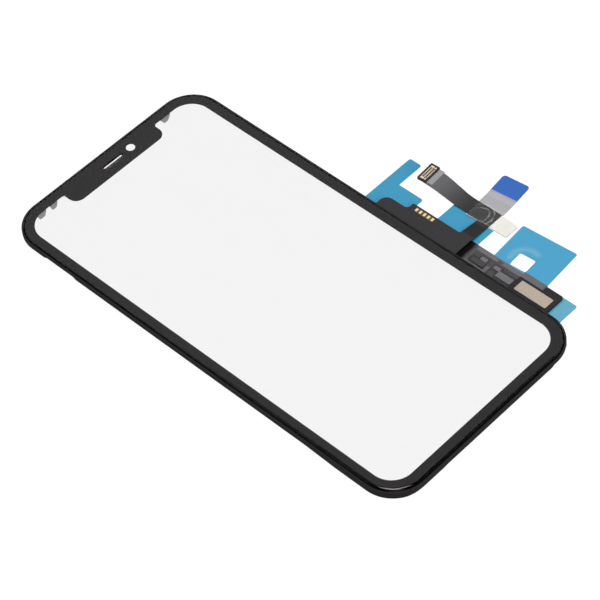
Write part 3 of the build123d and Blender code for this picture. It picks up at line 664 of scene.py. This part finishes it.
paper, tree, shader, place = new_finish("release_paper")
blotches = clouds(tree, place, paper_blotch_size, detail=4.0)
face_colour = two_tone(tree, blotches, darker(paper_colour, paper_blotch_share), paper_colour)
# Painted shade: the steep cut edge is darkened to brown.
normal = tree.nodes.new("ShaderNodeNewGeometry").outputs["Normal"]
levelness = compute(tree, "ABSOLUTE", along_axes(tree, normal)["Z"])
painted_shade_on_edge = compute(tree, "LESS_THAN", levelness, paper_edge_level)
tree.links.new(recolour(tree, painted_shade_on_edge, face_colour, paper_edge_painted_shade_colour), shader.inputs["Base Color"])
tree.links.new(spread(tree, blotches, *paper_roughness), shader.inputs["Roughness"])
relief(tree, shader, clouds(tree, place, paper_fibre_size, detail=4.0), paper_fibre_depth)
dress(paper, "elbow_release_pad")


# The sensor flexible circuit and what is soldered to it
# A second circuit with a black cover layer that is greyer along its outer edge and leaves one
# brown spot of the film bare. It carries a controller chip, smaller components and a strip of
# grounded metal round them. Where its end is tucked under the main circuit, the shadow of that
# circuit is painted on it and on the strip in near black, and the shine is taken off there.
sensor_flex_colour = (43, 40, 44)
sensor_mottle_size = 1.2 * mm
sensor_mottle_share = 0.7
sensor_roughness = (0.35, 0.5)
sensor_shine = 0.5
sensor_trace_pitch = 0.5 * mm
sensor_trace_depth = 0.005 * mm
sensor_edge_colour = (96, 93, 98)
sensor_edge_x = 43.1 * mm
sensor_edge_fade = 0.3 * mm
bare_spot_colour = (60, 40, 36)
bare_spot_low = (42.7 * mm, -39.9 * mm, -3.0 * mm)
bare_spot_high = (44.2 * mm, -38.4 * mm, 0.0)
painted_shadow_colour = (20, 17, 18)
painted_shadow_start_y = -31.2 * mm
painted_shadow_end_y = -28.9 * mm
chip_colour = (28, 26, 30)
component_colour = (107, 105, 109)
moulding_size = 0.2 * mm
moulding_depth = 0.01 * mm
moulding_roughness = (0.4, 0.6)
strip_colour = (112, 109, 113)
strip_painted_shadow_end_y = -29.8 * mm
strip_polish_size = 0.9 * mm
strip_polish_share = 0.8
strip_roughness = (0.4, 0.55)

sensor_cover, tree, shader, place = new_finish("sensor_flex_cover")
mottle = clouds(tree, place, sensor_mottle_size, detail=3.0)
dark_cover = darker(sensor_flex_colour, sensor_mottle_share)
cover_colour = two_tone(tree, mottle, dark_cover, sensor_flex_colour)
axes = along_axes(tree, place)
edge_side = spread(tree, axes["X"], 0, 1, sensor_edge_x, sensor_edge_x + sensor_edge_fade)
cover_colour = recolour(tree, edge_side, cover_colour, sensor_edge_colour)
bare_spot = within(tree, place, bare_spot_low, bare_spot_high)
cover_colour = recolour(tree, bare_spot, cover_colour, bare_spot_colour)
# Painted shadow: the end tucked under the main circuit is darkened to near black and loses its
# shine.
in_painted_shadow = spread(tree, axes["Y"], 0, 1, painted_shadow_start_y, painted_shadow_end_y)
tree.links.new(recolour(tree, in_painted_shadow, cover_colour, painted_shadow_colour), shader.inputs["Base Color"])
shine = spread(tree, in_painted_shadow, sensor_shine, 0.0, 0, 1)
tree.links.new(shine, shader.inputs["Specular IOR Level"])
tree.links.new(spread(tree, mottle, *sensor_roughness), shader.inputs["Roughness"])
relief(tree, shader, stripes(tree, place, sensor_trace_pitch, "Y"), sensor_trace_depth)
dress(sensor_cover, "sensor_flex")


def moulded(name, colour):
    """The dull moulding of a component."""
    return grained(name, colour, moulding_size, moulding_roughness, moulding_depth, detail=4.0)


components = ("long_component", "small_component_1", "small_component_2")
dress(moulded("chip_moulding", chip_colour), "controller_chip")
dress(moulded("component_moulding", component_colour), *components)

bare_strip, tree, shader, place = new_finish("bare_strip")
polish = clouds(tree, place, strip_polish_size, detail=3.0)
metal_colour = two_tone(tree, polish, darker(strip_colour, strip_polish_share), strip_colour)
# Painted shadow of the main circuit on the tucked end of the strip.
in_painted_shadow = spread(tree, along_axes(tree, place)["Y"], 0, 1, painted_shadow_start_y, strip_painted_shadow_end_y)
tree.links.new(recolour(tree, in_painted_shadow, metal_colour, painted_shadow_colour), shader.inputs["Base Color"])
shader.inputs["Metallic"].default_value = plain_metal_share
tree.links.new(spread(tree, polish, *strip_roughness), shader.inputs["Roughness"])
relief(tree, shader, polish, plain_metal_depth)
dress(bare_strip, "flex_ground_strip")


# The clear tape over the components
# A thin glossy tape that is pressed down over the components, so that it drapes from each one
# to the circuit round it. The narrow strip beside the gasket is grey adhesive tape.
# The tint is a share of light.
tape_tint = (0.93, 0.93, 0.935)
tape_index = 1.45
tape_roughness = 0.1
tape_ripple_size = 0.9 * mm
tape_ripple_depth = 0.04 * mm
tape_edges_x = (37.95 * mm, 43.25 * mm, 44.75 * mm, 45.5 * mm)
tape_edges_y = (-54.4 * mm, -46.45 * mm, -29.7 * mm)
tape_step = 0.15 * mm
tape_fall = 0.7 * mm
tape_float = 0.02 * mm
tape_strip_colour = (100, 98, 102)
tape_strip_haze_size = 0.8 * mm
tape_strip_haze_depth = 0.02 * mm
tape_strip_haze_share = 0.9
tape_strip_roughness = (0.3, 0.45)


def even_places(edges, step):
    """Places between the edges that are about a step apart and include every edge."""
    places = [edges[0]]
    for start, end in zip(edges, edges[1:]):
        count = max(1, round((end - start) / step))
        places += [start + (end - start) * (number + 1) / count for number in range(count)]
    return places


def drape_height(x, y, floor_z, boxes):
    """How high a draped sheet lies: on top of a piece, and falling off smoothly round it."""
    height = floor_z
    for low, high in boxes:
        beside = math.hypot(max(low[0] - x, x - high[0], 0), max(low[1] - y, y - high[1], 0))
        share = max(0.0, 1.0 - beside / tape_fall)
        height = max(height, floor_z + (high[2] - floor_z) * share * share * (3 - 2 * share))
    return height + tape_float


covered_boxes = [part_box(name) for name in ("controller_chip", *components, "flex_ground_strip")]
floor_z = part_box("controller_chip")[0][2]
columns = even_places(tape_edges_x, tape_step)
rows = even_places(tape_edges_y, tape_step)
points = [(x, y, drape_height(x, y, floor_z, covered_boxes)) for y in rows for x in columns]
faces = []
strip_faces = []
for row in range(len(rows) - 1):
    for column in range(len(columns) - 1):
        middle_x = (columns[column] + columns[column + 1]) / 2
        middle_y = (rows[row] + rows[row + 1]) / 2
        on_strip = middle_y < tape_edges_y[1]
        if not on_strip and middle_x > tape_edges_x[2]:
            continue
        if on_strip and middle_x < tape_edges_x[1]:
            continue
        first = row * len(columns) + column
        faces.append((first, first + 1, first + len(columns) + 1, first + len(columns)))
        strip_faces.append(on_strip)
tape_mesh = bpy.data.meshes.new("cover_tape")
tape_mesh.from_pydata(points, [], faces)
tape_sheet = bpy.data.objects.new("draped_cover_tape", tape_mesh)
bpy.context.scene.collection.objects.link(tape_sheet)
for face, on_strip in zip(tape_mesh.polygons, strip_faces):
    face.use_smooth = True
    face.material_index = int(on_strip)
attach(tape_sheet, "root")
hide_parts("cover_tape")

tape, tree, shader, place = new_finish("clear_tape")
tree.nodes.remove(shader)
clear, mirror = see_through(tree, tape_index, tape_tint, tape_roughness)
cover_with(tree, clear)
relief(tree, mirror, clouds(tree, place, tape_ripple_size, detail=3.0), tape_ripple_depth)
tape_mesh.materials.append(tape)

tape_strip = grained(
    "grey_tape_strip",
    tape_strip_colour,
    tape_strip_haze_size,
    tape_strip_roughness,
    tape_strip_haze_depth,
    share=tape_strip_haze_share,
)
tape_mesh.materials.append(tape_strip)


# The plate on the foam gasket
# A thin plate with a pale beige plating, bonded to the top of the foam gasket. Its surface is
# even and hardly shines.
plate_colour = (204, 191, 174)
plate_grain_size = 0.4 * mm
plate_roughness = (0.4, 0.55)

plate = plain_metal("gasket_plate", plate_colour, plate_grain_size, plate_roughness)
dress(plate, "gasket_plate")


# The release liners
# Blue polyester film with a silicone coat, die-cut to the outline of the parts it protects. The
# lower tab is paler, and a pale ring shows round the hole where the film has been pressed.
liner_colour = (46, 149, 189)
liner_tab_colour = (88, 164, 189)
liner_tab_y = -60.0 * mm
liner_tab_fade = 1.0 * mm
liner_mark_size = 3.0 * mm
liner_mark_depth = 0.04 * mm
liner_mark_share = 0.96
liner_roughness = (0.3, 0.45)
side_liner_colour = (61, 157, 199)
ring_colour = (98, 167, 198)
ring_middle = (48.6 * mm, -43.4 * mm, -2.45 * mm)
ring_radius = 3.95 * mm
ring_width = 3.2 * mm
ring_fade = 2.5 * mm


def liner_finish(name, colour):
    """Blue polyester film with faint handling marks. Its colour is still to be linked."""
    material, tree, shader, place = new_finish(name)
    marks = clouds(tree, place, liner_mark_size, detail=3.0)
    tree.links.new(spread(tree, marks, *liner_roughness), shader.inputs["Roughness"])
    relief(tree, shader, marks, liner_mark_depth)
    film_colour = two_tone(tree, marks, darker(colour, liner_mark_share), colour)
    return material, tree, shader, place, film_colour


main_blue, tree, shader, place, film_colour = liner_finish("liner_blue", liner_colour)
paler = spread(tree, along_axes(tree, place)["Y"], 1, 0, liner_tab_y, liner_tab_y + liner_tab_fade)
tree.links.new(recolour(tree, paler, film_colour, liner_tab_colour), shader.inputs["Base Color"])
dress(main_blue, "main_liner")

side_blue, tree, shader, place, film_colour = liner_finish("side_liner_blue", side_liner_colour)
reach = distance(tree, place, ring_middle)
ring_in = spread(tree, reach, 0, 1, ring_radius - ring_width / 2, ring_radius)
ring_out = spread(tree, reach, 1, 0, ring_radius, ring_radius + ring_width / 2)
axes = along_axes(tree, place)
sideways = compute(tree, "ADD", axes["X"], axes["Y"])
middle_line = ring_middle[0] + ring_middle[1]
upper_side = spread(tree, sideways, 0, 1, middle_line, middle_line + ring_fade)
ring_share = compute(tree, "MULTIPLY", compute(tree, "MULTIPLY", ring_in, ring_out), upper_side)
tree.links.new(recolour(tree, ring_share, film_colour, ring_colour), shader.inputs["Base Color"])
dress(side_blue, "side_liner")


# The table
# A plain white surface. It shows as white to the camera and in reflections, and keeps a soft
# share of the object's shadow.
table_size = 4.0
table_gap = 0.02 * mm
table_glow = 0.95
table_mirrored = 0.4
table_colour = (97, 97, 97)

table_mesh = bpy.data.meshes.new("table")
half = table_size / 2
table_z = cad_box[0][2] - table_gap
corners = [(-half, -half), (half, -half), (half, half), (-half, half)]
table_mesh.from_pydata([(x, y, table_z) for x, y in corners], [], [(0, 1, 2, 3)])
table = bpy.data.objects.new("table", table_mesh)
bpy.context.scene.collection.objects.link(table)

white, tree, shader, place = new_finish("white_table")
shader.inputs["Base Color"].default_value = (*tone(*table_colour), 1)
shader.inputs["Roughness"].default_value = 1.0
shader.inputs["Specular IOR Level"].default_value = 0.0
glow = tree.nodes.new("ShaderNodeEmission")
glow.inputs["Color"].default_value = (1, 1, 1, 1)
path = tree.nodes.new("ShaderNodeLightPath")
mirrored = compute(tree, "MULTIPLY", path.outputs["Is Glossy Ray"], table_mirrored)
seen = compute(tree, "MAXIMUM", path.outputs["Is Camera Ray"], mirrored)
tree.links.new(compute(tree, "MULTIPLY", seen, table_glow), glow.inputs["Strength"])
both = tree.nodes.new("ShaderNodeAddShader")
tree.links.new(shader.outputs["BSDF"], both.inputs[0])
tree.links.new(glow.outputs["Emission"], both.inputs[1])
cover_with(tree, both.outputs["Shader"])
table_mesh.materials.append(white)


# The studio
# A pale wall, whose edges fade between two marks each, stands behind the object in a dim room.
# An overhead lamp and a soft one beyond the lower end give most of the light, and weak ones over
# the wall and beside the camera the rest. The camera sees plain white behind the table.
wall_direction = (0.656, 0.754, 0.0)
wall_light = 0.98
room_light = 0.04
wall_top = (0.835, 0.89)
wall_foot = (0.58, 0.66)
wall_side = (-0.2, 0.3)
overhead_place = Vector((0.0, 0.0, 1.0))
overhead_size = 0.44
overhead_power = 6.6
back_place = Vector((0.46, 0.53, 0.84))
back_size = 0.35
back_power = 0.5
soft_place = Vector((-0.26, -1.04, 0.5))
soft_size = 0.5
soft_power = 6.4
front_place = Vector((-0.52, -0.6, 0.75))
front_size = 0.6
front_power = 0.7

world = bpy.data.worlds.new("studio")
bpy.context.scene.world = world
world.use_nodes = True
tree = world.node_tree
background = tree.nodes["Background"]
direction = tree.nodes.new("ShaderNodeTexCoord").outputs["Generated"]
towards_wall = tree.nodes.new("ShaderNodeVectorMath")
towards_wall.operation = "DOT_PRODUCT"
towards_wall.inputs[1].default_value = wall_direction
tree.links.new(direction, towards_wall.inputs[0])
height = along_axes(tree, direction)["Z"]
side_share = spread(tree, towards_wall.outputs["Value"], 0, 1, *wall_side)
top_share = spread(tree, height, 1, 0, *wall_top)
foot_share = spread(tree, height, 0, 1, *wall_foot)
high_share = compute(tree, "MULTIPLY", top_share, foot_share)
wall_share = compute(tree, "MULTIPLY", side_share, high_share)
room = spread(tree, wall_share, room_light, wall_light, 0, 1)
path = tree.nodes.new("ShaderNodeLightPath")
brightness = compute(tree, "MAXIMUM", path.outputs["Is Camera Ray"], room)
tree.links.new(brightness, background.inputs["Strength"])
background.inputs["Color"].default_value = (1, 1, 1, 1)


def add_lamp(name, lamp_place, size, power, mirrored):
    """A square lamp that faces the middle of the object."""
    data = bpy.data.lights.new(name, "AREA")
    data.size = size
    data.energy = power
    lamp = bpy.data.objects.new(name, data)
    bpy.context.scene.collection.objects.link(lamp)
    lamp.location = lamp_place
    lamp.rotation_mode = "QUATERNION"
    lamp.rotation_quaternion = (-lamp_place).to_track_quat("-Z", "Y")
    lamp.visible_glossy = mirrored


add_lamp("overhead_lamp", overhead_place, overhead_size, overhead_power, True)
add_lamp("back_lamp", back_place, back_size, back_power, False)
add_lamp("soft_lamp", soft_place, soft_size, soft_power, False)
add_lamp("front_lamp", front_place, front_size, front_power, True)
